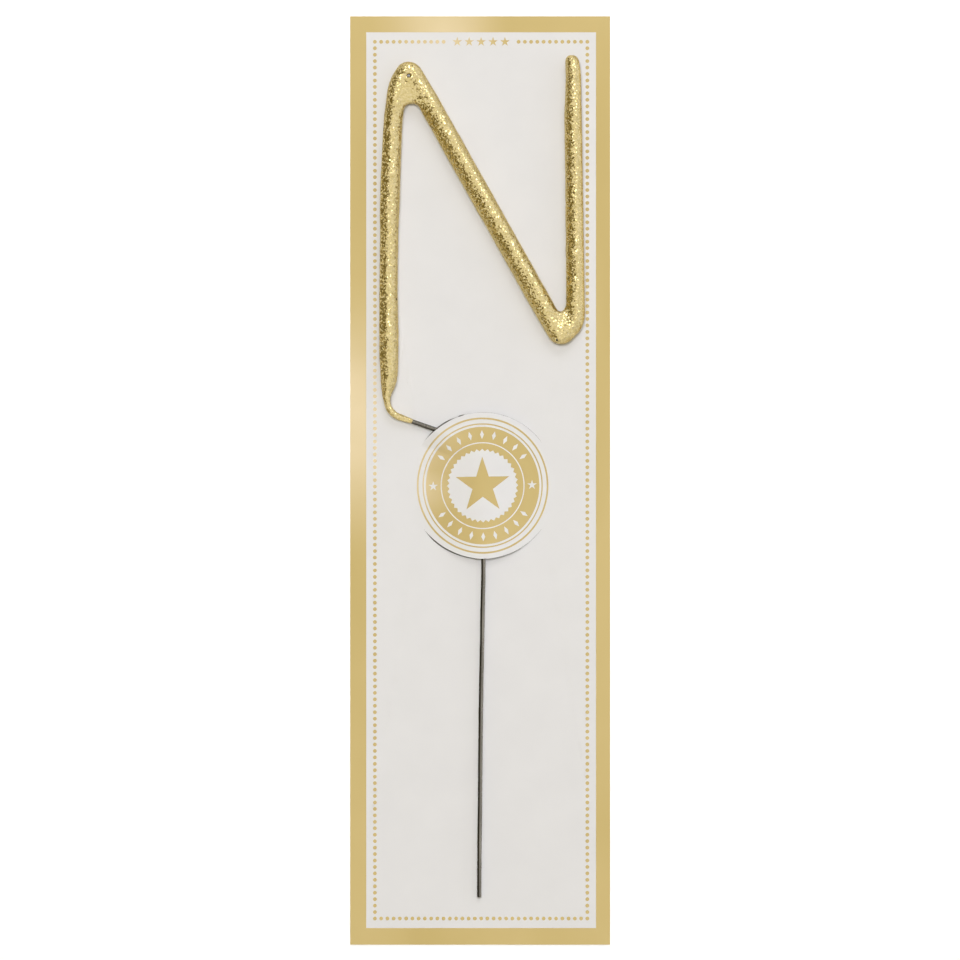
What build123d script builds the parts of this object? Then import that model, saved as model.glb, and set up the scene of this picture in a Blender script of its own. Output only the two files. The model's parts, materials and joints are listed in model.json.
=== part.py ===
from build123d import *
import math
import os

# A letter sparkler on its printed backing card, lying on its back.
# +Z comes out of the printed face, +Y runs up the card towards the top of the letter.
# All sizes are in millimetres, and the origin is in the middle of the card's back.

# Card
card_width = 60.0
card_height = 214.3
card_thickness = 0.4

# Foil frame and dotted line printed round the card
foil_thickness = 0.04
border_side = 3.48
border_end = 3.76
print_shift_x = 0.22
print_shift_y = 0.07
dot_diameter = 0.86
dot_inset_side = 2.0
dot_inset_end = 2.2
dots_across = 35
dots_down = 137

# Row of stars that breaks the dotted line at the top
header_gap_dots = 11
header_star_count = 5
header_star_radius = 1.15
header_star_pitch = 2.75

# Round medallion, cut loose from the card by two arc slits so that it makes a strap
medallion_x = 0.57
medallion_y = -1.19
slit_radius = 16.9
slit_width = 0.3
fold_flat = 0.6
fold_radius = 1.2
crease_angle = 32.0
shoulder_radius = 3.0
crest_radius = 30.0

# Foil print of the medallion, drawn slightly narrow because the bow takes up some of its width
print_squeeze = 0.967
ring_margin = 1.2
outer_ring_width = 0.4
ring_gap = 0.95
inner_ring_width = 0.3
band_gap = 0.5
band_width = 3.53
collar_gap = 0.26
collar_width = 1.25
tooth_depth = 0.55
tooth_count = 40
star_radius = 6.72
band_star_radius = 1.15
lozenge_height = 2.1
lozenge_width = 0.9
lozenge_pitch = 14.0
lozenges_per_arc = 9

# Steel wire, bent to the letter and then down to a straight stem
wire_diameter = 1.0
tip_x = 21.2
tip_y = 98.1
bottom_corner_x = 22.1
bottom_corner_y = 26.1
top_corner_x = -19.23
top_corner_y = 100.56
waist_x = -21.2
waist_y = 55.0
waist_radius = 300.0
foot_x = -21.5
foot_y = 15.6
foot_bend_radius = 4.2
leg_angle = 18.9
lip_bend_radius = 10.0
stem_x = 0.73
knee_bend_radius = 3.0
stem_bend_y = -22.0
stem_bend_radius = 200.0
stem_end_x = -0.24
stem_end_y = -96.1

# Coat of burning mix round the letter, measured over its lacquer
tip_radius = 1.65
right_stem_top_radius = 1.92
right_stem_radius = 2.05
bend_coat_radius = 2.3
diagonal_radius = 2.45
left_stem_radius = 2.1
foot_end_radius = 0.75
tip_taper = 9.0
bend_ease = 8.0
foot_taper = 6.6
coat_end_y = 19.4
top_bend_room = 0.1
bottom_bend_room = 0.6
web_thickness = 3.2
web_arch_radius = 2.4
top_web_depth = 14.1
bottom_web_depth = 12.6

# Gold lacquer over the mix, which runs on along the wire past the foot
lacquer_thickness = 0.1
sleeve_wall = 0.18
lacquer_run = 6.0

# Clearances between the sparkler and the card
coat_clearance = 0.1
leg_clearance = 0.1
stem_lift = 0.62
strap_clearance = 0.12

os.makedirs("parts", exist_ok=True)

# Heights of the wire's axis above the card's back
wire_radius = wire_diameter / 2
printed_face = card_thickness + foil_thickness
letter_z = printed_face + coat_clearance + diagonal_radius
lip_z = printed_face + leg_clearance + wire_radius
stem_z = card_thickness + stem_lift + wire_radius

# Corners of the wire's route: the leg crosses the slit at the lip, and meets the stem at the knee
medallion = Vector(medallion_x, medallion_y)
leg_direction = Vector(math.cos(math.radians(leg_angle)), -math.sin(math.radians(leg_angle)))
foot_from_medallion = Vector(foot_x, foot_y) - medallion
along = foot_from_medallion.dot(leg_direction)
half_chord = math.sqrt(along**2 - foot_from_medallion.length**2 + slit_radius**2)
lip_run = -along - half_chord
knee_run = (stem_x - foot_x) / leg_direction.X

tip = Vector(tip_x, tip_y - tip_radius, letter_z)
bottom_corner = Vector(bottom_corner_x, bottom_corner_y, letter_z)
top_corner = Vector(top_corner_x, top_corner_y, letter_z)
waist = Vector(waist_x, waist_y, letter_z)
foot = Vector(foot_x, foot_y, letter_z)
lip = Vector(foot_x, foot_y) + leg_direction * lip_run + Vector(0, 0, lip_z)
knee = Vector(foot_x, foot_y) + leg_direction * knee_run + Vector(0, 0, stem_z)
stem_bend = Vector(stem_x, stem_bend_y, stem_z)
stem_end = Vector(stem_end_x, stem_end_y, stem_z)
coat_end = waist + (foot - waist) * ((waist_y - coat_end_y) / (waist_y - foot_y))
lacquer_end = foot + (lip - foot).normalized() * lacquer_run

top_bend_radius = bend_coat_radius + top_bend_room
bottom_bend_radius = bend_coat_radius + bottom_bend_room


def rounding_room(radius, turn):
    """Depth that rounding takes off a corner that turns by an angle."""
    return radius * (1 / math.cos(turn / 2) - 1)


# The strap rises from a fold on the left, over the leg at its shoulder and over the stem at its crest
crease = math.radians(crease_angle)
over_wire = wire_radius + strap_clearance
crease_x = lip.X - (over_wire + lip_z * math.cos(crease)) / math.sin(crease)
shoulder_z = lip_z + over_wire + rounding_room(shoulder_radius, crease)
shoulder_x = crease_x + shoulder_z / math.tan(crease)
fold_left = crease_x - fold_flat
strap_half_span = medallion_x - fold_left
fold_right = medallion_x + strap_half_span
crest_low = stem_z + over_wire
crest_turn = math.atan((crest_low - shoulder_z) / (stem_x - shoulder_x))
crest_turn += math.atan(crest_low / (fold_right - fold_flat - stem_x))
crest_z = crest_low + rounding_room(crest_radius, crest_turn)
strap_radius = slit_radius - slit_width / 2
hole_radius = slit_radius + slit_width / 2


def bowed_sheet(low, high, left, right):
    """Sheet that follows the strap's bow, between two heights above the strap's underside."""

    def bow(height):
        FilletPolyline(
            (left, height),
            (crease_x, height),
            (shoulder_x, shoulder_z + height),
            (stem_x, crest_z + height),
            (fold_right - fold_flat, height),
            (right, height),
            radius=[fold_radius, shoulder_radius, crest_radius, fold_radius],
        )

    with BuildPart() as sheet:
        with BuildSketch(Plane.XZ.offset(-medallion_y)):
            with BuildLine():
                bow(low)
                bow(high)
                Line((left, low), (left, high))
                Line((right, low), (right, high))
            make_face()
        extrude(amount=hole_radius, both=True)
    return sheet.part


def star_points(radius, first_angle=90.0):
    """Corners of a five-pointed star, from one tip round to the last notch."""
    notch_radius = radius * math.sin(math.radians(18)) / math.sin(math.radians(54))
    corners = []
    for step in range(10):
        reach = radius if step % 2 == 0 else notch_radius
        angle = math.radians(first_angle + 36 * step)
        corners.append((reach * math.cos(angle), reach * math.sin(angle)))
    return corners


def squeezed(points):
    """Points of the medallion's print, drawn in to the print's narrow width."""
    return [(print_squeeze * x, y) for x, y in points]


# Steel wire
with BuildPart() as wire_core:
    with BuildLine() as wire_route:
        FilletPolyline(
            tip, bottom_corner, top_corner, waist, foot, lip, knee, stem_bend, stem_end,
            radius=[
                bottom_bend_radius, top_bend_radius, waist_radius, foot_bend_radius,
                lip_bend_radius, knee_bend_radius, stem_bend_radius,
            ],
        )
    with BuildSketch(Plane(tip, z_dir=bottom_corner - tip)):
        Circle(wire_radius)
    sweep()
wire_core.part.label = "wire_core"

# Route of the coat along the letter: stem, bend, diagonal, bend, and the bowed left stem
with BuildLine() as letter_route:
    FilletPolyline(
        tip, bottom_corner, top_corner, waist, coat_end,
        radius=[bottom_bend_radius, top_bend_radius, 0],
    )
letter_edges = letter_route.wires()[0].order_edges()
right_run, bottom_bend, diagonal_run, top_bend, left_run, foot_run = letter_edges


def stroke(run, stations):
    """Round stroke along a straight run, with its radius given at distances from the run's start."""
    start = run.position_at(0)
    direction = run.tangent_at(0)
    with BuildSketch(Plane(start, x_dir=direction, z_dir=(0, 0, 1))) as profile:
        Polygon((0, 0), *stations, (run.length, 0), align=None)
    revolve(profile.sketch, axis=Axis(start, direction))


def bend(arc, radius):
    """Round stroke along a bend of the wire."""
    turn = arc.length / arc.radius
    side = arc.tangent_at(0).cross(arc.tangent_at(1)).Z
    axis = Axis(arc.arc_center, (0, 0, math.copysign(1, side)))
    with BuildSketch(Plane(arc.position_at(0), z_dir=arc.tangent_at(0))) as section:
        Circle(radius)
    revolve(section.sketch, axis=axis, revolution_arc=math.degrees(turn))


def web(corner, arc, depth, growth):
    """Mix that fills the crotch beside a bend, from the bend down to an arch between its two strokes."""
    first = arc.position_at(0)
    second = arc.position_at(1)
    to_first = (first - corner).normalized()
    to_second = (second - corner).normalized()
    middle = (to_first + to_second).normalized()
    arch_centre = corner + middle * (depth + web_arch_radius)
    reach = (depth + web_arch_radius) / to_first.dot(middle)
    outline = (first, corner + to_first * reach, corner + to_second * reach, second)
    with BuildSketch(Plane.XY.offset(letter_z)) as plate:
        Polygon(*[(point.X, point.Y) for point in outline], align=None)
        with Locations((arch_centre.X, arch_centre.Y)):
            Circle(web_arch_radius - growth, mode=Mode.SUBTRACT)
    extrude(plate.sketch, amount=web_thickness / 2 + growth, both=True)


def coat(growth):
    """Whole coat of the letter, grown or shrunk from its outer surface."""
    with BuildPart() as body:
        with Locations(tip):
            Sphere(tip_radius + growth)
        stroke(right_run, [
            (0, tip_radius + growth),
            (tip_taper, right_stem_top_radius + growth),
            (right_run.length - bend_ease, right_stem_radius + growth),
            (right_run.length, bend_coat_radius + growth),
        ])
        bend(bottom_bend, bend_coat_radius + growth)
        stroke(diagonal_run, [
            (0, bend_coat_radius + growth),
            (bend_ease, diagonal_radius + growth),
            (diagonal_run.length - bend_ease, diagonal_radius + growth),
            (diagonal_run.length, bend_coat_radius + growth),
        ])
        bend(top_bend, bend_coat_radius + growth)
        stroke(left_run, [
            (0, bend_coat_radius + growth),
            (bend_ease, left_stem_radius + growth),
            (left_run.length, left_stem_radius + growth),
        ])
        with Locations(waist):
            Sphere(left_stem_radius + growth)
        stroke(foot_run, [
            (0, left_stem_radius + growth),
            (foot_run.length - foot_taper, left_stem_radius + growth),
            (foot_run.length, foot_end_radius + growth),
        ])
        web(top_corner, top_bend, top_web_depth, growth)
        web(bottom_corner, bottom_bend, bottom_web_depth, growth)
    return body.part


outer_coat = coat(0)
inner_coat = coat(-lacquer_thickness)

# Burning mix, set hard round the wire
with BuildPart() as spark_mix:
    add(inner_coat)
    add(wire_core.part, mode=Mode.SUBTRACT)
spark_mix.part.label = "spark_mix"

# Gold lacquer, a thin skin over the mix that ends as a sleeve on the bent wire
with BuildPart() as gold_lacquer:
    with BuildLine():
        FilletPolyline(coat_end, foot, lacquer_end, radius=[foot_bend_radius])
    with BuildSketch(Plane(coat_end, z_dir=foot - coat_end)):
        Circle(wire_radius + sleeve_wall)
    sweep()
    add(outer_coat)
    add(inner_coat, mode=Mode.SUBTRACT)
    add(wire_core.part, mode=Mode.SUBTRACT)
gold_lacquer.part.label = "gold_lacquer"

# Card in one sheet with its strap
strap_sheet = bowed_sheet(0, card_thickness, fold_left, fold_right)
with BuildPart() as backing_card:
    with BuildSketch():
        Rectangle(card_width, card_height)
        with BuildSketch(mode=Mode.PRIVATE) as slit_window:
            with Locations(medallion):
                Circle(hole_radius)
                Rectangle(2 * strap_half_span, 2 * hole_radius, mode=Mode.INTERSECT)
        add(slit_window.sketch, mode=Mode.SUBTRACT)
    extrude(amount=card_thickness)
    with BuildPart(mode=Mode.PRIVATE) as strap:
        add(strap_sheet)
        with Locations(medallion):
            Cylinder(strap_radius, 4 * crest_z, mode=Mode.INTERSECT)
    add(strap.part)
backing_card.part.label = "backing_card"

# Foil frame round the card's edge
panel_width = card_width - 2 * border_side
panel_height = card_height - 2 * border_end
with BuildPart() as foil_border:
    with BuildSketch(Plane.XY.offset(card_thickness)):
        Rectangle(card_width, card_height)
        with Locations((print_shift_x, print_shift_y)):
            Rectangle(panel_width, panel_height, mode=Mode.SUBTRACT)
    extrude(amount=foil_thickness)
foil_border.part.label = "foil_border"

# Dotted line inside the frame, with a gap in its top row
dot_frame_width = panel_width - 2 * dot_inset_side
dot_frame_height = panel_height - 2 * dot_inset_end
dot_left = print_shift_x - dot_frame_width / 2
dot_bottom = print_shift_y - dot_frame_height / 2
dot_top = dot_bottom + dot_frame_height
step_across = dot_frame_width / (dots_across - 1)
step_down = dot_frame_height / (dots_down - 1)
first_gap_dot = (dots_across - header_gap_dots) // 2
dot_places = []
for column in range(dots_across):
    x = dot_left + column * step_across
    dot_places.append((x, dot_bottom))
    if not first_gap_dot <= column < first_gap_dot + header_gap_dots:
        dot_places.append((x, dot_top))
for row in range(1, dots_down - 1):
    y = dot_bottom + row * step_down
    dot_places.append((dot_left, y))
    dot_places.append((dot_left + dot_frame_width, y))
with BuildPart() as foil_dots:
    with BuildSketch(Plane.XY.offset(card_thickness)):
        with Locations(*dot_places):
            Circle(dot_diameter / 2)
    extrude(amount=foil_thickness)
foil_dots.part.label = "foil_dots"

# Row of small stars in that gap
with BuildPart() as foil_header_stars:
    with BuildSketch(Plane.XY.offset(card_thickness)):
        with Locations((print_shift_x, dot_top)):
            with GridLocations(header_star_pitch, 1, header_star_count, 1):
                Polygon(*star_points(header_star_radius), align=None)
    extrude(amount=foil_thickness)
foil_header_stars.part.label = "foil_header_stars"

# Radii of the medallion's print, from the slit inwards
outer_ring_radius = slit_radius - ring_margin
inner_ring_radius = outer_ring_radius - outer_ring_width - ring_gap
band_radius = inner_ring_radius - inner_ring_width - band_gap
collar_radius = band_radius - band_width - collar_gap
band_middle = band_radius - band_width / 2

foil_sheet = bowed_sheet(
    card_thickness, printed_face, medallion_x - slit_radius, medallion_x + slit_radius
)
print_plane = Plane((medallion_x, medallion_y, 0))
print_height = 2 * crest_z + printed_face


def foil_ring(radius, width):
    """Ring of foil on the medallion."""
    with BuildPart() as ring:
        with BuildSketch(print_plane):
            Ellipse(print_squeeze * radius, radius)
            Ellipse(print_squeeze * (radius - width), radius - width, mode=Mode.SUBTRACT)
        extrude(amount=print_height)
        add(foil_sheet, mode=Mode.INTERSECT)
    return ring.part


# Two thin rings
foil_outer_ring = foil_ring(outer_ring_radius, outer_ring_width)
foil_outer_ring.label = "foil_outer_ring"
foil_inner_ring = foil_ring(inner_ring_radius, inner_ring_width)
foil_inner_ring.label = "foil_inner_ring"

# Wide band, with two stars and two arcs of lozenges left bare in it
lozenge = [
    (0, lozenge_height / 2),
    (-lozenge_width / 2, 0),
    (0, -lozenge_height / 2),
    (lozenge_width / 2, 0),
]
with BuildPart() as foil_band:
    with BuildSketch(print_plane):
        Ellipse(print_squeeze * band_radius, band_radius)
        inner_edge = band_radius - band_width
        Ellipse(print_squeeze * inner_edge, inner_edge, mode=Mode.SUBTRACT)
        with Locations((-print_squeeze * band_middle, 0), (print_squeeze * band_middle, 0)):
            Polygon(*star_points(band_star_radius), align=None, mode=Mode.SUBTRACT)
        for arc_middle in (90, 270):
            for place in range(lozenges_per_arc):
                angle = arc_middle + (place - (lozenges_per_arc - 1) / 2) * lozenge_pitch
                x = print_squeeze * band_middle * math.cos(math.radians(angle))
                y = band_middle * math.sin(math.radians(angle))
                with Locations(Location((x, y), angle - 90)):
                    Polygon(*lozenge, align=None, mode=Mode.SUBTRACT)
    extrude(amount=print_height)
    add(foil_sheet, mode=Mode.INTERSECT)
foil_band.part.label = "foil_band"

# Collar with a saw-toothed inner edge
tooth_edge = []
for step in range(2 * tooth_count):
    reach = collar_radius - collar_width - (tooth_depth if step % 2 else 0)
    angle = math.pi * step / tooth_count
    tooth_edge.append((reach * math.cos(angle), reach * math.sin(angle)))
with BuildPart() as foil_collar:
    with BuildSketch(print_plane):
        Ellipse(print_squeeze * collar_radius, collar_radius)
        Polygon(*squeezed(tooth_edge), align=None, mode=Mode.SUBTRACT)
    extrude(amount=print_height)
    add(foil_sheet, mode=Mode.INTERSECT)
foil_collar.part.label = "foil_collar"

# Star in the middle
with BuildPart() as foil_star:
    with BuildSketch(print_plane):
        Polygon(*squeezed(star_points(star_radius)), align=None)
    extrude(amount=print_height)
    add(foil_sheet, mode=Mode.INTERSECT)
foil_star.part.label = "foil_star"

export_step(wire_core.part, "parts/wire_core.step")
export_step(spark_mix.part, "parts/spark_mix.step")
export_step(gold_lacquer.part, "parts/gold_lacquer.step")
export_step(backing_card.part, "parts/backing_card.step")
export_step(foil_border.part, "parts/foil_border.step")
export_step(foil_dots.part, "parts/foil_dots.step")
export_step(foil_header_stars.part, "parts/foil_header_stars.step")
export_step(foil_outer_ring, "parts/foil_outer_ring.step")
export_step(foil_inner_ring, "parts/foil_inner_ring.step")
export_step(foil_band.part, "parts/foil_band.step")
export_step(foil_collar.part, "parts/foil_collar.step")
export_step(foil_star.part, "parts/foil_star.step")
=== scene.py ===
# %% [markdown]
# # A letter sparkler on its printed card
# The object is one steel wire, bent to a capital letter, dipped in a grey burning mix and lacquered gold.
# Its bare stem runs under a die-cut strap in a long white card with gold foil print.
# The solid model comes in first and stays where it is. Every piece made here is in metres, in the same
# frame: +X to the right, +Y up the card, +Z out of the printed face.

# %% Load the solid model
import bmesh
import bpy
import json
import math
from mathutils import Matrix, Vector


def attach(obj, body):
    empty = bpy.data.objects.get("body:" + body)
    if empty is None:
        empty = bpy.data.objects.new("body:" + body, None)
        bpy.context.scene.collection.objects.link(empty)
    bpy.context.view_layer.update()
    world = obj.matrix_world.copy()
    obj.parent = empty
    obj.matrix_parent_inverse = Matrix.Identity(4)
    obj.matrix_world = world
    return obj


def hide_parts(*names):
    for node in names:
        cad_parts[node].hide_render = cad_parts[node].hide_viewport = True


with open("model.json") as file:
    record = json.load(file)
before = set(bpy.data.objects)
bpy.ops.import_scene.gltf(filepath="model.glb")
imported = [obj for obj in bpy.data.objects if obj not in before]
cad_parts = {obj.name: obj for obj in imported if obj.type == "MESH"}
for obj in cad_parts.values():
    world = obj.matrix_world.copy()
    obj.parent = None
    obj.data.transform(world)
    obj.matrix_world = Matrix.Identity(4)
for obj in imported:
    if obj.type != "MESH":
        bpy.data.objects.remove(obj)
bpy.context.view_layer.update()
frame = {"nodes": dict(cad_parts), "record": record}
nodes = frame["nodes"]
MM = 0.001
print("nodes:", sorted(nodes))

# %% [markdown]
# ## Camera
# The photograph looks straight down on the card through a long lens, so nothing leans.
# A perspective camera a long way up does the same. Its lens is worked out from the width of the frame at the
# printed face, which is better than moving the camera until the picture looks right.

# %% Camera
scene = bpy.context.scene
scene.view_settings.view_transform = "Standard"
view_centre = Vector((-0.035, 0.104, 0.44)) * MM
view_width = 221.6 * MM
camera_height = 1.5
bpy.ops.object.camera_add(location=view_centre + Vector((0, 0, camera_height)), rotation=(0, 0, 0))
camera = bpy.context.object
camera.name = "photo_camera"
camera.data.lens = camera.data.sensor_width * camera_height / view_width
scene.camera = camera
print("lens:", round(camera.data.lens, 1), "mm")

# %% [markdown]
# ## Floor and light
# The card lies on a plain white sweep. Under the card the floor is a dark sheet, painted shade, so that the
# slits show shade.
# Gold looks like gold only when it has something pale and something dark to mirror, so there is a tent for
# the reflections: a pale roof, pale walls low on the right and beyond both ends of the card, and a dim brown
# side low on the left, where the strokes of the letter show their dark side. The paper shows almost no shade
# beside the strokes, so its light comes from the front, from a lamp near the camera that is kept out of the
# reflections, as a photographer does with a polariser. A lamp beyond the card's top gives the weak shadows
# below the bends.


# %% Helpers for node materials
def new_material(name):
    """New material, its node tree and its shader."""
    material = bpy.data.materials.new(name)
    material.use_nodes = True
    return material, material.node_tree, material.node_tree.nodes["Principled BSDF"]


def add_node(tree, kind, **settings):
    """Node of a kind with its settings and inputs filled in by name."""
    node = tree.nodes.new(kind)
    for setting, value in settings.items():
        if setting in node.inputs:
            node.inputs[setting].default_value = value
        else:
            setattr(node, setting, value)
    return node


# %% Floor
floor_size = 8.0
inner_size = floor_size / 2
floor_drop = 0.05 * MM
shade_width = 0.058
shade_length = 0.212
bpy.ops.object.select_all(action="DESELECT")
bpy.ops.mesh.primitive_plane_add(size=floor_size, location=(0, 0, -floor_drop))
floor = bpy.context.object
floor.name = "floor"
bpy.ops.object.mode_set(mode="EDIT")
bpy.ops.mesh.inset(thickness=(floor_size - inner_size) / 2)
under_card = (shade_width / inner_size, shade_length / inner_size, 1)
bpy.ops.transform.resize(value=under_card, center_override=(0, 0, -floor_drop))
bpy.ops.object.mode_set(mode="OBJECT")
print("floor faces:", len(floor.data.polygons))

# %% Finish of the floor
floor_glow = 0.25
floor_white, tree, shader = new_material("floor_white")
shader.inputs["Base Color"].default_value = (0.93, 0.93, 0.93, 1)
shader.inputs["Roughness"].default_value = 0.9
rays = add_node(tree, "ShaderNodeLightPath")
seen = add_node(tree, "ShaderNodeMath", operation="MAXIMUM")
seen_or_through = add_node(tree, "ShaderNodeMath", operation="MAXIMUM")
glow = add_node(tree, "ShaderNodeMath", operation="MULTIPLY")
glow.inputs[1].default_value = floor_glow
tree.links.new(rays.outputs["Is Camera Ray"], seen.inputs[0])
tree.links.new(rays.outputs["Is Glossy Ray"], seen.inputs[1])
tree.links.new(seen.outputs[0], seen_or_through.inputs[0])
tree.links.new(rays.outputs["Is Transmission Ray"], seen_or_through.inputs[1])
tree.links.new(seen_or_through.outputs[0], glow.inputs[0])
shader.inputs["Emission Color"].default_value = (1, 1, 1, 1)
tree.links.new(glow.outputs[0], shader.inputs["Emission Strength"])
floor.data.materials.append(floor_white)

# Painted shade: a dark sheet under the card, seen through the slits.
painted_shade_under_card, tree, shader = new_material("painted_shade_under_card")
shader.inputs["Base Color"].default_value = (0.16, 0.15, 0.14, 1)
shader.inputs["Roughness"].default_value = 0.9
floor.data.materials.append(painted_shade_under_card)
for face in floor.data.polygons:
    if face.area < 2 * shade_width * shade_length:
        face.material_index = 1
print("dark floor faces:", sum(face.material_index for face in floor.data.polygons))

# %% Sides of the tent
pale_side = Vector((0.94, 0.3, 0.15)).normalized()
side_colours = (
    (0.03, (0.8, 0.7, 0.45)), (0.1, (0.17, 0.125, 0.03)), (0.2, (0.27, 0.22, 0.08)),
    (0.34, (0.28, 0.245, 0.14)), (0.75, (0.25, 0.235, 0.2)), (0.97, (0.6, 0.6, 0.6)),
)
world = bpy.data.worlds.new("light_tent")
scene.world = world
world.use_nodes = True
tree = world.node_tree
background = tree.nodes["Background"]
direction = add_node(tree, "ShaderNodeTexCoord")
towards = add_node(tree, "ShaderNodeVectorMath", operation="DOT_PRODUCT")
towards.inputs[1].default_value = pale_side
half_range = add_node(tree, "ShaderNodeMath", operation="MULTIPLY_ADD")
half_range.inputs[1].default_value = 0.5
half_range.inputs[2].default_value = 0.5
sides = add_node(tree, "ShaderNodeValToRGB")
stops = sides.color_ramp.elements
for stop, (position, colour) in zip(stops, (side_colours[0], side_colours[-1])):
    stop.position = position
    stop.color = (*colour, 1)
for position, colour in side_colours[1:-1]:
    stops.new(position).color = (*colour, 1)
tree.links.new(direction.outputs["Generated"], towards.inputs[0])
tree.links.new(towards.outputs["Value"], half_range.inputs[0])
tree.links.new(half_range.outputs[0], sides.inputs["Fac"])
tree.links.new(sides.outputs["Color"], background.inputs["Color"])
background.inputs["Strength"].default_value = 1.0
print("tent sides:", [round(stop.position, 2) for stop in stops])


# %% Lamps
def soft_lamp(name, place, width, length, brightness, aim=(0, 0, 0)):
    """Makes a rectangular lamp that faces a point, with the brightness of its own face."""
    turn = (Vector(aim) - Vector(place)).to_track_quat("-Z", "Y").to_euler()
    bpy.ops.object.light_add(type="AREA", location=place, rotation=turn)
    lamp = bpy.context.object
    lamp.name = name
    lamp.data.shape = "RECTANGLE"
    lamp.data.size = width
    lamp.data.size_y = length
    lamp.data.energy = math.pi * width * length * brightness
    lamp.visible_camera = False
    print(name, "energy", round(lamp.data.energy, 2), "W")
    return lamp


roof = soft_lamp("tent_roof", (0.06, 0, 1.4), width=2.2, length=8.0, brightness=0.88, aim=(0.06, 0, 0))
lower_wall = soft_lamp("lower_wall", (0, -2.6, 0.5), width=3.0, length=1.2, brightness=0.7)
upper_wall = soft_lamp("upper_wall", (-0.8, 2.6, 0.5), width=3.0, length=1.2, brightness=0.6)
right_wall = soft_lamp("right_wall", (1.53, 0, 0.78), width=8.0, length=1.45, brightness=0.52)
for reflector in (roof, lower_wall, upper_wall, right_wall):
    reflector.visible_diffuse = False
front_lamp = soft_lamp("front_lamp", (-0.06, 0.2, 1.3), width=0.3, length=0.3, brightness=33.0)
front_lamp.visible_glossy = False
soft_lamp("upper_lamp", (0.12, 0.85, 1.0), width=0.5, length=0.5, brightness=3.6)

# %% [markdown]
# ## Tools for drawing a bent rod
# The wire and the coat on it are rods that run straight, bend round a corner and run on, as a wire bender
# makes them. A curve with a bevel would do, but a ring of corners that is extruded along a run and spun round
# a bend keeps every bend a true arc and lets the ring grow or shrink on the way.

# %% Helpers for modelling
# Two lengths that differ by less than this count as the same.
TOUCH = 0.01 * MM


def mm(x, y, z=0.0):
    """Place given in millimetres."""
    return Vector((x, y, z)) * MM


def only(piece):
    """Makes one piece the only selected and the active one."""
    bpy.ops.object.select_all(action="DESELECT")
    piece.select_set(True)
    bpy.context.view_layer.objects.active = piece


def settle(piece, name):
    """Names a new piece and writes its place, turn and scale into its mesh."""
    piece.name = name
    piece.data.name = name
    only(piece)
    bpy.ops.object.transform_apply(location=True, rotation=True, scale=True)
    return piece


def apply_modifier(piece, kind, **settings):
    """Adds a modifier with its settings and applies it."""
    only(piece)
    modifier = piece.modifiers.new(kind.lower(), kind)
    for setting, value in settings.items():
        setattr(modifier, setting, value)
    bpy.ops.object.modifier_apply(modifier=modifier.name)


def edit(piece):
    """Opens one piece in edit mode with nothing selected."""
    only(piece)
    bpy.ops.object.mode_set(mode="EDIT")
    bpy.ops.mesh.select_all(action="DESELECT")


def close_edit(merge=0.001 * MM):
    """Merges doubles, turns the faces outwards and leaves edit mode."""
    bpy.ops.mesh.select_all(action="SELECT")
    bpy.ops.mesh.remove_doubles(threshold=merge)
    bpy.ops.mesh.normals_make_consistent(inside=False)
    bpy.ops.object.mode_set(mode="OBJECT")


def face_up(piece):
    """Turns a flat piece over if it faces down."""
    if piece.data.polygons[0].normal.z < 0:
        edit(piece)
        bpy.ops.mesh.select_all(action="SELECT")
        bpy.ops.mesh.flip_normals()
        bpy.ops.object.mode_set(mode="OBJECT")


def ease(low, high, value):
    """Smooth step from nought at a low value to one at a high value."""
    share = min(max((value - low) / (high - low), 0.0), 1.0)
    return share * share * (3 - 2 * share)


def tell(piece):
    """Prints a piece's size in millimetres and its number of faces."""
    size = [round(value / MM, 2) for value in piece.dimensions]
    print(piece.name, "size", size, "faces", len(piece.data.polygons))


# %% Helpers for rods
def start_rod(name, centre, ahead, radius, corners):
    """Starts a rod with a closed ring that faces the next point."""
    bpy.ops.object.select_all(action="DESELECT")
    facing = (ahead - centre).to_track_quat("Z", "Y").to_euler()
    bpy.ops.mesh.primitive_circle_add(vertices=corners, radius=radius, location=centre, rotation=facing)
    rod = settle(bpy.context.object, name)
    bpy.ops.object.mode_set(mode="EDIT")
    bpy.ops.mesh.select_all(action="SELECT")
    bpy.ops.mesh.edge_face_add()
    return rod


def ring():
    """Middle and radius of the ring that is selected."""
    mesh = bmesh.from_edit_mesh(bpy.context.object.data)
    corners = [vertex.co.copy() for vertex in mesh.verts if vertex.select]
    middle = sum(corners, Vector()) / len(corners)
    return middle, (corners[0] - middle).length


def run_to(point, radius):
    """Extrudes the rod's last ring to a point and gives it a new radius."""
    middle, old_radius = ring()
    growth = radius / old_radius
    bpy.ops.mesh.extrude_edges_indiv()
    bpy.ops.transform.translate(value=point - middle)
    bpy.ops.transform.resize(value=(growth, growth, growth), center_override=point)


class Bend:
    """Arc that rounds a corner of a route."""

    def __init__(self, before, corner, after, radius):
        back = (before - corner).normalized()
        on = (after - corner).normalized()
        half = back.angle(on) / 2
        self.start = corner + back * radius / math.tan(half)
        self.end = corner + on * radius / math.tan(half)
        self.centre = corner + (back + on).normalized() * radius / math.sin(half)
        self.axis = on.cross(back).normalized()
        self.turn = math.pi - 2 * half

    def spin(self, steps):
        """Spins the rod's last ring round the bend. The operator turns the other way than the axis says."""
        bpy.ops.mesh.spin(steps=steps, angle=-self.turn, center=self.centre, axis=self.axis)


def end_rod():
    """Closes the rod's last ring and leaves edit mode."""
    bpy.ops.mesh.edge_face_add()
    close_edit()


# %% [markdown]
# ## Route of the wire
# One wire makes the whole sparkler. It goes down the right stem, up the diagonal, down the left stem, aside
# as a slanting leg, under the strap, and down to its cut end. The corners are those of the solid model.

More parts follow.
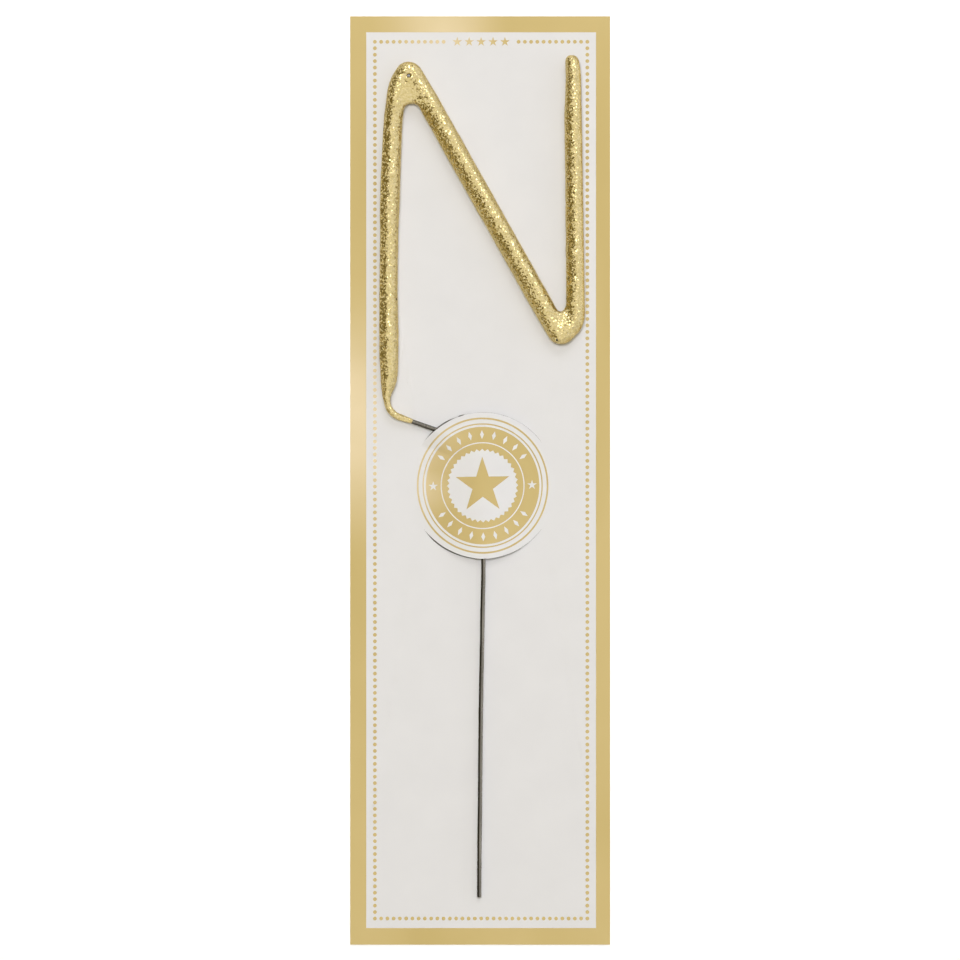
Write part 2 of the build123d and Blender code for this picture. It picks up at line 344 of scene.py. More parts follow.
# %% Route
letter_z = 2.99
lip_z = 1.04
stem_z = 1.52
stem_x = 0.73
tip = mm(21.2, 96.45, letter_z)
bottom_corner = mm(22.1, 26.1, letter_z)
top_corner = mm(-19.23, 100.56, letter_z)
waist = mm(-21.2, 55.0, letter_z)
coat_end = mm(-21.471, 19.4, letter_z)
foot = mm(-21.5, 15.6, letter_z)
lip = mm(-10.29, 11.76, lip_z)
knee = mm(stem_x, 8.0, stem_z)
stem_top = mm(stem_x, -22.0, stem_z)
stem_end = mm(-0.24, -96.1, stem_z)

bottom_bend = Bend(tip, bottom_corner, top_corner, radius=2.9 * MM)
top_bend = Bend(bottom_corner, top_corner, waist, radius=2.4 * MM)
foot_bend = Bend(waist, foot, lip, radius=4.2 * MM)
lip_bend = Bend(foot, lip, knee, radius=10.0 * MM)
knee_bend = Bend(lip, knee, stem_top, radius=3.0 * MM)
for label, bend in (("bottom", bottom_bend), ("top", top_bend), ("foot", foot_bend), ("knee", knee_bend)):
    print(label, "bend turns", round(math.degrees(bend.turn), 1), "degrees")

# %% [markdown]
# ## Steel wire
# The bare wire is dark, drawn steel of one millimetre. It isn't dead straight: the stem bows a little to the
# left below the strap, as a hand-bent wire does. A ring is extruded and spun along the route, and the stem
# gets a few extra rings that are each moved a little. The cut end keeps a narrow chamfer.

# %% Wire
wire_radius = 0.5 * MM
wire = start_rod("bent_wire", tip, bottom_corner, wire_radius, corners=20)
run_to(bottom_bend.start, wire_radius)
bottom_bend.spin(steps=10)
run_to(top_bend.start, wire_radius)
top_bend.spin(steps=10)
run_to(waist, wire_radius)
run_to(foot_bend.start, wire_radius)
foot_bend.spin(steps=8)
run_to(lip_bend.start, wire_radius)
lip_bend.spin(steps=6)
run_to(knee_bend.start, wire_radius)
knee_bend.spin(steps=10)
run_to(stem_top, wire_radius)
stem_bow = ((-30, 0.52), (-38, 0.42), (-46, 0.25), (-54, 0.13), (-63, 0.03), (-74, -0.05), (-85, -0.18))
for along, aside in stem_bow:
    run_to(mm(aside, along, stem_z), wire_radius)
chamfer = 0.12 * MM
run_to(stem_end + Vector((0, chamfer, 0)), wire_radius)
run_to(stem_end, wire_radius - chamfer)
end_rod()
bpy.ops.object.shade_smooth_by_angle(angle=math.radians(40))
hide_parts("wire_core")
tell(wire)

# %% [markdown]
# ## Coat of the letter
# The wire is dipped in a thick grey slurry several times, hung up to dry, and lacquered. The slurry leaves a
# stroke of four to five millimetres that is thinner at the tip, gathers in the crotches of the bends, and
# tapers off at the foot, where the lacquer alone runs on over the wire. The stroke is drawn as a rod whose
# rings grow and shrink. The rings below have their place in the plan and their radius in millimetres.

# %% Bends of the coat
right_turn = mm(22.0, 36.3, letter_z)
bottom_apex = mm(18.4, 33.15, letter_z)
top_apex = mm(-16.3, 95.0, letter_z)
left_turn = mm(-18.7, 92.2, letter_z)
left_shoulder = mm(-20.0, 84.0, letter_z)
left_middle = mm(-20.85, 65.0, letter_z)
right_ease = Bend(tip, right_turn, bottom_apex, radius=4.5 * MM)
bottom_tip = Bend(right_turn, bottom_apex, top_apex, radius=1.0 * MM)
top_tip = Bend(bottom_apex, top_apex, left_turn, radius=1.0 * MM)
left_ease = Bend(top_apex, left_turn, left_shoulder, radius=10.0 * MM)
shoulder_ease = Bend(left_turn, left_shoulder, left_middle, radius=20.0 * MM)
print("diagonal of the coat:", round((top_apex - bottom_apex).length / MM, 1), "mm")

# %% Rod of the coat
tip_rings = ((1.48, 0.85), (1.2, 1.2), (0.75, 1.48), (0.0, 1.66), (-3.0, 1.78))
right_stem = ((21.4, 84, 2.03), (21.62, 70, 2.07), (21.8, 55, 2.12))
left_stem = (
    (-20.5, 74, 2.24), (-20.78, 65, 2.32), (-21.0, 55.5, 2.12), (-21.1, 45, 2.1), (-21.05, 34, 2.26),
    (-21.0, 27, 2.16), (-21.0, 24.6, 2.04), (-21.08, 22.9, 1.86), (-21.25, 21.5, 1.6), (-21.5, 20.1, 1.16),
    (-21.6, 18.8, 0.92),
)
coat = start_rod("letter_lacquer", tip + mm(-0.2, 1.6), right_turn, radius=0.45 * MM, corners=40)
for rise, radius in tip_rings:
    run_to(tip + mm(-0.1 * rise, rise), radius * MM)
for aside, along, radius in right_stem:
    run_to(mm(aside, along, letter_z), radius * MM)
run_to(right_ease.start, radius=2.2 * MM)
right_ease.spin(steps=8)
run_to(bottom_tip.start, radius=2.35 * MM)
bottom_tip.spin(steps=14)
for share in (0.1, 0.9):
    run_to(bottom_tip.end.lerp(top_tip.start, share), radius=2.5 * MM)
run_to(top_tip.start, radius=2.3 * MM)
top_tip.spin(steps=14)
run_to(left_ease.start, radius=2.3 * MM)
left_ease.spin(steps=4)
run_to(shoulder_ease.start, radius=2.2 * MM)
shoulder_ease.spin(steps=4)
for aside, along, radius in left_stem:
    run_to(mm(aside, along, letter_z), radius * MM)
lacquer_radius = 0.82 * MM
lacquer_run = 6.0
lacquer_end = foot + (lip - foot).normalized() * lacquer_run * MM
run_to(foot_bend.start, lacquer_radius)
foot_bend.spin(steps=8)
run_to(lacquer_end, radius=0.66 * MM)
run_to(lacquer_end.lerp(lip, 0.12), wire_radius)
end_rod()
tell(coat)

# %% [markdown]
# The crotches are filled: a plate between the two strokes, with an arch cut out of its open edge.
# Plate and stroke are then fused by a voxel remesh, which is how wet slurry runs together.


# %% Plates in the crotches
def crotch_plate(outline, thickness, edge_share, arch_centre, arch_radius):
    """Plate between two strokes, thinner towards its open edge, which has an arch cut from it."""
    bpy.ops.object.select_all(action="DESELECT")
    bpy.ops.mesh.primitive_plane_add(size=1)
    plate = settle(bpy.context.object, "crotch_plate")
    for corner_number, place in zip((0, 1, 3, 2), outline):
        plate.data.vertices[corner_number].co = place - Vector((0, 0, thickness / 2))
    edit(plate)
    bpy.ops.mesh.select_all(action="SELECT")
    bpy.ops.mesh.extrude_region_move(TRANSFORM_OT_translate={"value": (0, 0, thickness)})
    close_edit()
    open_edge = outline[1]
    for vertex in plate.data.vertices:
        if abs(vertex.co.y - open_edge.y) < TOUCH:
            vertex.co.z = open_edge.z + edge_share * (vertex.co.z - open_edge.z)
    bpy.ops.object.select_all(action="DESELECT")
    bpy.ops.mesh.primitive_cylinder_add(
        vertices=48, radius=arch_radius, depth=3 * thickness, location=arch_centre)
    arch = settle(bpy.context.object, "crotch_arch")
    apply_modifier(plate, "BOOLEAN", operation="DIFFERENCE", solver="EXACT", object=arch)
    bpy.data.objects.remove(arch)
    return plate


top_outline = (top_tip.centre, mm(-19.9, 85.1, letter_z), mm(-10.3, 85.1, letter_z), top_tip.start)
top_arch = mm(-15.7, 84.8, letter_z)
top_plate = crotch_plate(
    top_outline, thickness=4.6 * MM, edge_share=0.8, arch_centre=top_arch, arch_radius=2.15 * MM)
bottom_outline = (bottom_tip.centre, mm(21.7, 39.9, letter_z), mm(14.4, 39.9, letter_z), bottom_tip.end)
bottom_arch = mm(18.5, 39.9, letter_z)
bottom_plate = crotch_plate(
    bottom_outline, thickness=4.4 * MM, edge_share=0.55, arch_centre=bottom_arch, arch_radius=1.05 * MM)
tell(top_plate)
tell(bottom_plate)

# %% Coat fused and smoothed
coat_voxel = 0.207 * MM
top_crotch = mm(-15.9, 88.4)
bottom_crotch = mm(18.4, 37.6)
crotch_core = 2.0 * MM
crotch_reach = 4.2 * MM
only(coat)
top_plate.select_set(True)
bottom_plate.select_set(True)
bpy.ops.object.join()
coat = bpy.context.object
apply_modifier(coat, "REMESH", mode="VOXEL", voxel_size=coat_voxel)
apply_modifier(coat, "SMOOTH", factor=0.5, iterations=17)
crotches = coat.vertex_groups.new(name="crotches")
for vertex in coat.data.vertices:
    from_top = (vertex.co.xy - top_crotch.xy).length
    from_bottom = (vertex.co.xy - bottom_crotch.xy).length
    weight = 1 - ease(crotch_core, crotch_reach, min(from_top, from_bottom))
    if weight > 0:
        crotches.add([vertex.index], weight, "REPLACE")
apply_modifier(coat, "SMOOTH", factor=0.5, iterations=53, vertex_group="crotches")
tell(coat)


# %% [markdown]
# The strokes aren't quite round. The mix sagged to one side while it dried: the right stem and the diagonal
# are higher on their right, and the left stem has a flat flank on its left. Scaling can't do that, so the
# corners of the mesh are moved by their place across the stroke.


# %% Sections of the strokes
def lean(piece, start, end, reach, amount):
    """Raises one side of a stroke's top, less and less towards its ends and past its sides."""
    along = (end - start).normalized()
    aside = Vector((abs(along.y), -along.x * math.copysign(1, along.y), 0))
    length = (end - start).length
    end_fade = 0.2
    full_reach = 0.9 * reach
    last_reach = 1.2 * reach
    for vertex in piece.data.vertices:
        offset = vertex.co - start
        beside = offset.dot(aside)
        from_end = min(offset.dot(along), length - offset.dot(along)) / length
        if from_end > 0 and abs(beside) < last_reach and offset.z > 0:
            fade = ease(0, end_fade, from_end) * (1 - ease(full_reach, last_reach, abs(beside)))
            vertex.co.z += amount * fade * beside * offset.z / reach


def flatten_flank(piece, axis, slope, top_share):
    """Gives a stroke that runs up and down a flat flank on its upper left, from its side to near its top."""
    plane = math.sqrt(1 - top_share**2) + slope * top_share
    low = axis[-1].y
    high = axis[0].y
    stroke_reach = 3 * MM
    end_fade = 4 * MM
    least_cosine = 0.01
    for vertex in piece.data.vertices:
        y = vertex.co.y
        if low < y < high and vertex.co.x < 0:
            above, below = [pair for pair in zip(axis, axis[1:]) if pair[1].y <= y <= pair[0].y][0]
            middle = above.lerp(below, (above.y - y) / (above.y - below.y))
            aside = middle.x - vertex.co.x
            up = vertex.co.z - middle.z
            if aside > 0 and up > 0 and aside < stroke_reach:
                angle = math.atan2(up, aside)
                side_limit = 1 / max(math.cos(angle), least_cosine)
                flank_limit = plane / (slope * math.cos(angle) + math.sin(angle))
                growth = min(side_limit, flank_limit)
                if angle > math.acos(top_share):
                    growth = 1.0
                fade = ease(0, end_fade, min(y - low, high - y))
                vertex.co.x -= fade * (growth - 1) * aside
                vertex.co.z += fade * (growth - 1) * up


lean(coat, tip, right_turn, reach=2.6 * MM, amount=0.25)
lean(coat, bottom_apex, top_apex, reach=2.9 * MM, amount=0.25)
left_axis = [left_shoulder] + [mm(aside, along, letter_z) for aside, along, radius in left_stem]
rings_of_the_foot = 3
flatten_flank(coat, left_axis[:-rings_of_the_foot], slope=0.66, top_share=0.36)
apply_modifier(coat, "SMOOTH", factor=0.5, iterations=11)
tell(coat)

# %% [markdown]
# Under the lacquer sits the burning mix itself. It is the same form, a little smaller, and ends where the
# lacquer runs on alone over the wire. A copy of the fused coat is shrunk along its normals and cut off at the
# foot.

# %% Burning mix
mix_inset = 0.4 * MM
mix_voxel = 0.5 * MM
only(coat)
bpy.ops.object.duplicate()
mix = bpy.context.object
mix.name = "burning_mix"
mix.data.name = "burning_mix"
apply_modifier(mix, "DISPLACE", strength=-mix_inset, mid_level=0.0)
apply_modifier(mix, "REMESH", mode="VOXEL", voxel_size=mix_voxel)
edit(mix)
bpy.ops.mesh.select_all(action="SELECT")
bpy.ops.mesh.bisect(plane_co=coat_end, plane_no=(0, 1, 0), use_fill=True, clear_inner=True)
close_edit()
bpy.ops.object.shade_smooth()
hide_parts("spark_mix")
tell(mix)

# %% [markdown]
# The lacquer carries glitter, so its face is grainy, but where the mix pooled in the upper crotch it dried
# smooth. Two cloud textures push the face in and out, a coarse one for the hand-dipped lumps and a fine one
# for the grain. Vertex groups hold both back on the lacquered foot, and the fine one in the crotch. Last come
# the small faults: a burst bubble near the top, a crease above the crotch and two pits. The back is pressed
# flat where the letter hangs just above the card.

# %% Grain of the coat
lumps = bpy.data.textures.new("coat_lumps", "CLOUDS")
lumps.noise_scale = 4.0 * MM
lumps.noise_depth = 1
lump_height = 0.12 * MM
grains = bpy.data.textures.new("coat_grains", "CLOUDS")
grains.noise_scale = 0.55 * MM
grains.noise_depth = 0
grain_height = 0.045 * MM
smooth_pool = mm(-16.0, 89.0)
smooth_reach = 4.0 * MM
pool_grain = 0.25
foot_grain = 0.1
foot_low = 18 * MM
foot_high = 26 * MM
grainy = coat.vertex_groups.new(name="grainy")
dipped = coat.vertex_groups.new(name="dipped")
for vertex in coat.data.vertices:
    above_foot = foot_grain + (1 - foot_grain) * ease(foot_low, foot_high, vertex.co.y)
    away = (vertex.co.xy - smooth_pool.xy).length
    rough = pool_grain + (1 - pool_grain) * ease(0.5 * smooth_reach, smooth_reach, away)
    dipped.add([vertex.index], above_foot, "REPLACE")
    grainy.add([vertex.index], above_foot * rough, "REPLACE")
for texture, height, group in ((lumps, lump_height, dipped), (grains, grain_height, grainy)):
    apply_modifier(coat, "DISPLACE", texture=texture, texture_coords="LOCAL", strength=height,
                   mid_level=0.5, vertex_group=group.name)
bpy.ops.object.shade_smooth()
tell(coat)


# %% Small faults in the coat
def press(piece, start, end, width, depth):
    """Presses a pit or a crease into a piece's front, along a line in plan."""
    edit(piece)
    mesh = bmesh.from_edit_mesh(piece.data)
    line = (end - start).xy
    flat_width = 0.3 * width
    for vertex in mesh.verts:
        offset = vertex.co.xy - start.xy
        share = 0.0
        if line.length > 0:
            share = min(max(offset.dot(line) / line.length_squared, 0.0), 1.0)
        away = (offset - share * line).length
        if vertex.co.z > letter_z * MM and away < width:
            vertex.co.z -= depth * (1 - ease(flat_width, width, away))
    bmesh.update_edit_mesh(piece.data)
    bpy.ops.object.mode_set(mode="OBJECT")


def front_at(piece, place):
    """Nearest corner of a piece's front to a place in plan."""
    front = [vertex.co for vertex in piece.data.vertices if vertex.co.z > letter_z * MM]
    return min(front, key=lambda corner: (corner.xy - place.xy).length).copy()


bubble = mm(-16.43, 93.2)
crease_low = mm(-15.1, 86.9)
crease_high = mm(-15.3, 87.6)
bottom_pit = mm(17.6, 32.36)
stem_pit = mm(-19.3, 41.8)
press(coat, bubble, bubble, width=0.62 * MM, depth=0.55 * MM)
press(coat, crease_low, crease_high, width=0.35 * MM, depth=0.3 * MM)
for pit in (bottom_pit, stem_pit):
    press(coat, pit, pit, width=0.4 * MM, depth=0.35 * MM)
back_of_coat = 0.5 * MM
for vertex in coat.data.vertices:
    vertex.co.z = max(vertex.co.z, back_of_coat)
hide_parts("gold_lacquer")
tell(coat)

# %% [markdown]
# ## Card and strap
# The card is one sheet of white board. Two arc slits cut its round medallion loose at the top and the bottom,
# so it becomes a strap that holds the wire. Over the stem the strap bows up gently, and the slanting leg
# lifts its upper left corner along a bend that starts at the slit's end and runs beside the leg. The slits
# are wide on the left and close towards their ends, and the upper one has a nick. The flat sheet is filled
# round a circle, the medallion is a disc with many inset rings, and the two are merged where no slit is. One
# function gives the bow, so the foil print can follow the same shape later. Sizes here are in millimetres.

# %% Sizes of the card
card_width = 60.0
card_height = 214.3
card_thickness = 0.4
medallion_x = 0.57
medallion_y = -1.19
medallion = mm(medallion_x, medallion_y, card_thickness)
slit_radius = 16.9
strap_half_span = 14.27
fold_left = medallion_x - strap_half_span
fold_right = medallion_x + strap_half_span
slit_end_y = medallion_y + math.sqrt(slit_radius**2 - strap_half_span**2)
print("slits end at", round(slit_end_y, 2), "mm, folds at", round(fold_left, 2), "and", round(fold_right, 2))

# %% Bow of the strap
crest_rise = 2.2
bow_rounding = 0.18
corner_reach = 4.7
corner_rounding = 0.12
leg_slope = 0.05
along_leg = knee - lip
across_leg = Vector((-along_leg.y, along_leg.x)).normalized()


def flat_ramp(share, rounding):
    """Even slope from nought to one with a little rounding at both ends."""
    share = min(max(share, 0.0), 1.0)
    if share > 0.5:
        return 1 - flat_ramp(1 - share, rounding)
    if share < rounding:
        return share**2 / (2 * rounding * (1 - rounding))
    return (share - rounding / 2) / (1 - rounding)


def strap_rise(x, y):
    """Rise of the strap over the flat card at a place on it."""
    if x > stem_x:
        return crest_rise * flat_ramp((fold_right - x) / (fold_right - stem_x), bow_rounding)
    gentle = crest_rise * flat_ramp((x - fold_left) / (stem_x - fold_left), bow_rounding)
    over_leg = crest_rise + leg_slope * (x - stem_x)
    past_bend = across_leg.dot(Vector((x - fold_left, y - slit_end_y)))
    return gentle + flat_ramp(past_bend / corner_reach, corner_rounding) * max(over_leg - gentle, 0.0)


print("bow at the lip:", round(strap_rise(lip.x / MM, lip.y / MM), 2), "mm")
print("bow over the stem:", round(strap_rise(stem_x, medallion_y), 2), "mm")

# %% Width of the slits
wide_gap = 0.32
narrow_gap = 0.06
upper_narrowing = (-8.8, -5.8)
lower_narrowing = (-7.5, 0.0)
nick_across = -5.0
nick_gap = 0.3
nick_sides = (0.1, 0.7)
left_closing = 3.4
right_closing = 1.5
last_closing = 0.3


def slit_gap(x, y):
    """Width of a slit at a place on its rim."""
    across = x - medallion_x
    upper = y > medallion_y
    narrowing = upper_narrowing if upper else lower_narrowing
    gap = wide_gap - (wide_gap - narrow_gap) * ease(*narrowing, across)
    if upper:
        gap += nick_gap * (1 - ease(*nick_sides, abs(across - nick_across)))
    closing = left_closing if across < 0 else right_closing
    return gap * (1 - ease(strap_half_span - closing, strap_half_span - last_closing, abs(across)))


print("slit at the lip:", round(slit_gap(lip.x / MM, lip.y / MM), 2), "mm")

# %% Sheet with a round window
rim_corners = 180
bpy.ops.object.select_all(action="DESELECT")
bpy.ops.mesh.primitive_plane_add(size=1, location=mm(0, 0, card_thickness))
card = bpy.context.object
card.scale = (card_width * MM, card_height * MM, 1)
settle(card, "card_with_strap")
edit(card)
bpy.ops.mesh.select_all(action="SELECT")
bpy.ops.mesh.delete(type="ONLY_FACE")
bpy.ops.mesh.primitive_circle_add(vertices=rim_corners, radius=slit_radius * MM, location=medallion)
bpy.ops.mesh.select_all(action="SELECT")
bpy.ops.mesh.fill()
bpy.ops.object.mode_set(mode="OBJECT")
tell(card)

# %% Disc of the medallion
disc_rings = 32
disc_step = 0.5 * MM
bpy.ops.object.select_all(action="DESELECT")
bpy.ops.mesh.primitive_circle_add(
    vertices=rim_corners, radius=slit_radius * MM, fill_type="NGON", location=medallion)
strap = settle(bpy.context.object, "strap_disc")
edit(strap)
bpy.ops.mesh.select_all(action="SELECT")
for step in range(disc_rings):
    bpy.ops.mesh.inset(thickness=disc_step)
bpy.ops.object.mode_set(mode="OBJECT")
tell(strap)

# %% Slits, bow and thickness
for piece, side in ((card, 1), (strap, -1)):
    for vertex in piece.data.vertices:
        outward = vertex.co - medallion
        if abs(outward.length - slit_radius * MM) < TOUCH:
            half_gap = slit_gap(vertex.co.x / MM, vertex.co.y / MM) * MM / 2
            vertex.co += side * half_gap * outward.normalized()
for vertex in strap.data.vertices:
    vertex.co.z += strap_rise(vertex.co.x / MM, vertex.co.y / MM) * MM
only(card)
strap.select_set(True)
bpy.ops.object.join()
edit(card)
close_edit()
face_up(card)
apply_modifier(card, "SOLIDIFY", thickness=card_thickness * MM, offset=-1)
bpy.ops.object.shade_smooth_by_angle(angle=math.radians(30))
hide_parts("backing_card")
tell(card)

# %% [markdown]
# ## Foil print of the medallion
# Hot-stamped foil: two thin rings, a wide band with bare lozenges and stars, a collar with saw teeth, and a
# star. Each is a flat film made from a circle, and is then lifted by the same bow as the strap, so it lies on
# the paper. The bow takes up some of the width, so the print is drawn slightly narrow.

# %% Helpers for foil
print_squeeze = 0.967
print_turn = 0.8
foil_thickness = 0.04
foil_sink = 0.012


def flat_foil(name, corners, radius, fill="NOTHING"):
    """Starts a flat piece of foil with a circle round the medallion's middle, in edit mode, all selected."""
    bpy.ops.object.select_all(action="DESELECT")
    bpy.ops.mesh.primitive_circle_add(
        vertices=corners, radius=radius * MM, fill_type=fill, location=medallion)
    piece = settle(bpy.context.object, name)
    bpy.ops.object.mode_set(mode="EDIT")
    bpy.ops.mesh.select_all(action="SELECT")
    return piece


def extrude_inwards(radius, width, steps):
    """Extrudes the selected ring towards the medallion's middle in even steps."""
    for step in range(steps):
        shrink = (radius - width * (step + 1) / steps) / (radius - width * step / steps)
        bpy.ops.mesh.extrude_edges_indiv()
        bpy.ops.transform.resize(value=(shrink, shrink, 1), center_override=medallion)


def pull_every_second(share, centre):
    """Pulls every second one of the selected corners towards a centre."""
    mesh = bmesh.from_edit_mesh(bpy.context.object.data)
    chosen = [vertex for vertex in mesh.verts if vertex.select]
    for place, vertex in enumerate(chosen):
        if place % 2 == 0:
            vertex.select_set(False)
    mesh.select_flush_mode()
    bpy.ops.transform.resize(value=(share, share, 1), center_override=centre)


def thicken_foil(piece):
    """Turns a flat piece of foil with the print, squeezes it sideways and gives it its thickness."""
    bpy.ops.mesh.select_all(action="SELECT")
    bpy.ops.transform.rotate(value=-math.radians(print_turn), orient_axis="Z", center_override=medallion)
    bpy.ops.transform.resize(value=(print_squeeze, 1, 1), center_override=medallion)
    close_edit()
    face_up(piece)
    apply_modifier(piece, "SOLIDIFY", thickness=foil_thickness * MM, offset=1)


def lay_foil(piece, node):
    """Lifts a piece of foil by the strap's bow and lets it stand for its solid."""
    for vertex in piece.data.vertices:
        rise = strap_rise(vertex.co.x / MM, vertex.co.y / MM)
        vertex.co.z += (rise - foil_sink) * MM
    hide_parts(node)
    tell(piece)


# %% Rings
foil_pieces = []
for name, node, radius, width in (("outer_ring_foil", "foil_outer_ring", 15.7, 0.4),
                                  ("inner_ring_foil", "foil_inner_ring", 14.35, 0.3)):
    piece = flat_foil(name, rim_corners, radius)
    extrude_inwards(radius, width, steps=2)
    thicken_foil(piece)
    lay_foil(piece, node)
    foil_pieces.append(piece)

# %% [markdown]
# The collar's teeth could be cut out, but they are only the inner corners of a ring. A ring with two corners
# a tooth is extruded inwards, and every second corner of its last edge is pulled further in. The star is made
# the same way: a filled circle of ten corners, with every second one pulled in to the star's notches. It is
# then divided, because a flat face can't follow the bow.

# %% Collar with saw teeth
collar_radius = 9.76
collar_width = 1.25
tooth_depth = 0.55
tooth_count = 40
collar = flat_foil("collar_foil", 2 * tooth_count, collar_radius)
extrude_inwards(collar_radius, collar_width, steps=3)
collar_root = collar_radius - collar_width
pull_every_second((collar_root - tooth_depth) / collar_root, medallion)
thicken_foil(collar)
lay_foil(collar, "foil_collar")
foil_pieces.append(collar)

# %% Star
star_corners = 10
star_radius = 6.72
star_notch = math.sin(math.radians(18)) / math.sin(math.radians(54))
star = flat_foil("star_foil", star_corners, star_radius, fill="NGON")
pull_every_second(star_notch, medallion)
bpy.ops.mesh.select_all(action="SELECT")
bpy.ops.mesh.poke()
bpy.ops.mesh.subdivide(number_cuts=7)
thicken_foil(star)
lay_foil(star, "foil_star")
foil_pieces.append(star)

# %% [markdown]
# The band leaves the paper bare in a star at each side and in two arcs of lozenges. They could be part of the
# first outline, but then the ring couldn't be extruded in even steps. So the band is made whole, and prisms
# are cut out of it. One lozenge is modelled, and the others are its copies.


# %% Prisms for the bare shapes
def cutter(name, corners, half_width, half_height, place):
    """Upright prism on a lozenge or a star, to cut a bare shape out of the band."""
    bpy.ops.object.select_all(action="DESELECT")
    bpy.ops.mesh.primitive_circle_add(vertices=corners, radius=MM, fill_type="NGON")
    prism = bpy.context.object
    prism.scale = (half_width, half_height, 1)
    settle(prism, name)
    edit(prism)
    bpy.ops.mesh.select_all(action="SELECT")
    if corners == star_corners:
        pull_every_second(star_notch, Vector())
        bpy.ops.mesh.select_all(action="SELECT")
    bpy.ops.mesh.extrude_region_move(TRANSFORM_OT_translate={"value": (0, 0, MM)})
    close_edit()
    prism.location = place
    return prism


band_radius = 13.55
band_width = 3.53
band_middle = band_radius - band_width / 2
bare_star_radius = 1.15
lozenge_corners = 4
lozenge_half_width = 0.45
lozenge_half_height = 1.05
lozenge_pitch = 14.0
lozenges_per_arc = 9
cutters = []
below = Vector((0, 0, -0.5 * MM))
turned = math.radians(print_turn)
for side in (-1, 1):
    aside = mm(side * print_squeeze * band_middle, side * band_middle * math.sin(turned))
    cutters.append(
        cutter("star_cutter", star_corners, bare_star_radius, bare_star_radius, medallion + aside + below))
first_lozenge = cutter(
    "lozenge_cutter", lozenge_corners, lozenge_half_width, lozenge_half_height, medallion + below)
for arc_middle in (90, 270):
    for place in range(lozenges_per_arc):
        angle = arc_middle + (place - (lozenges_per_arc - 1) / 2) * lozenge_pitch
        lozenge = first_lozenge.copy()
        lozenge.data = first_lozenge.data.copy()
        bpy.context.collection.objects.link(lozenge)
        turned = math.radians(angle + print_turn)
        outward = mm(print_squeeze * band_middle * math.cos(turned), band_middle * math.sin(turned))
        lozenge.location = medallion + outward + below
        lozenge.rotation_euler = (0, 0, turned - math.pi / 2)
        cutters.append(lozenge)
bpy.data.objects.remove(first_lozenge)
print("bare shapes:", len(cutters))

# %% Band
band = flat_foil("band_foil", rim_corners, band_radius)
extrude_inwards(band_radius, band_width, steps=8)
thicken_foil(band)
only(cutters[0])
for prism in cutters:
    prism.select_set(True)
bpy.ops.object.join()
bare_shapes = settle(cutters[0], "bare_shapes")
apply_modifier(band, "BOOLEAN", operation="DIFFERENCE", solver="EXACT", object=bare_shapes)
bpy.data.objects.remove(bare_shapes)
lay_foil(band, "foil_band")
foil_pieces.append(band)

# %% [markdown]
# ## Finishes
# Each finish is made from noise at the size that the real one shows: paper fibres, the faint unevenness of
# stamped foil, the grain of the lacquer, and the drawing lines of the wire. They all read object coordinates
# in metres, so a scale of a thousand gives one feature a millimetre.


# %% Helpers for finishes
def object_noise(tree, size, detail=2.0, stretch=(1, 1, 1)):
    """Noise on object coordinates whose features have a size in metres."""
    place = add_node(tree, "ShaderNodeTexCoord")
    mapping = add_node(tree, "ShaderNodeMapping", Scale=stretch)
    noise = add_node(tree, "ShaderNodeTexNoise", Scale=1 / size, Detail=detail)
    tree.links.new(place.outputs["Object"], mapping.inputs["Vector"])
    tree.links.new(mapping.outputs["Vector"], noise.inputs["Vector"])
    return noise.outputs["Fac"]


def ramp(tree, value, low, high, low_at=0.3, high_at=0.7):
    """Colour that goes from a low one to a high one as a value grows."""
    node = add_node(tree, "ShaderNodeValToRGB")
    node.color_ramp.elements[0].position = low_at
    node.color_ramp.elements[0].color = (*low, 1)
    node.color_ramp.elements[1].position = high_at
    node.color_ramp.elements[1].color = (*high, 1)
    tree.links.new(value, node.inputs["Fac"])
    return node.outputs["Color"]


def blend(tree, share, low, high):
    """Mix of two colours by a share. The node's colour sockets come after those for numbers and vectors."""
    node = add_node(tree, "ShaderNodeMix", data_type="RGBA")
    tree.links.new(share, node.inputs[0])
    tree.links.new(low, node.inputs[6])
    tree.links.new(high, node.inputs[7])
    return node.outputs[2]


def remap(tree, value, low, high, from_low=0.3, from_high=0.7, smooth="LINEAR"):
    """Value brought from one range to another."""
    node = add_node(tree, "ShaderNodeMapRange", interpolation_type=smooth)
    node.inputs["From Min"].default_value = from_low
    node.inputs["From Max"].default_value = from_high
    node.inputs["To Min"].default_value = low
    node.inputs["To Max"].default_value = high
    tree.links.new(value, node.inputs["Value"])
    return node.outputs["Result"]


def spot(tree, place, radius, strength):
    """Soft round spot about a place on the object, in metres."""
    where = add_node(tree, "ShaderNodeTexCoord")
    away = add_node(tree, "ShaderNodeVectorMath", operation="DISTANCE")
    away.inputs[1].default_value = place
    tree.links.new(where.outputs["Object"], away.inputs[0])
    return remap(tree, away.outputs["Value"], strength, 0.0, 0.0, radius, "SMOOTHSTEP")


def strongest(tree, first, second):
    """Larger one of two values."""
    node = add_node(tree, "ShaderNodeMath", operation="MAXIMUM")
    tree.links.new(first, node.inputs[0])
    tree.links.new(second, node.inputs[1])
    return node.outputs[0]


def bump(tree, shader, value, depth):
    """Bump from a value, with its depth in metres."""
    node = add_node(tree, "ShaderNodeBump", Distance=depth)
    tree.links.new(value, node.inputs["Height"])
    tree.links.new(node.outputs["Normal"], shader.inputs["Normal"])


def tell_finish(material):
    """Prints a finish's name and its number of nodes."""
    print(material.name, "finish with", len(material.node_tree.nodes), "nodes")


# %% [markdown]
# The board is matt and almost even. A faint cloud in its colour and a bump as fine as fibres keep it from
# looking like plastic.

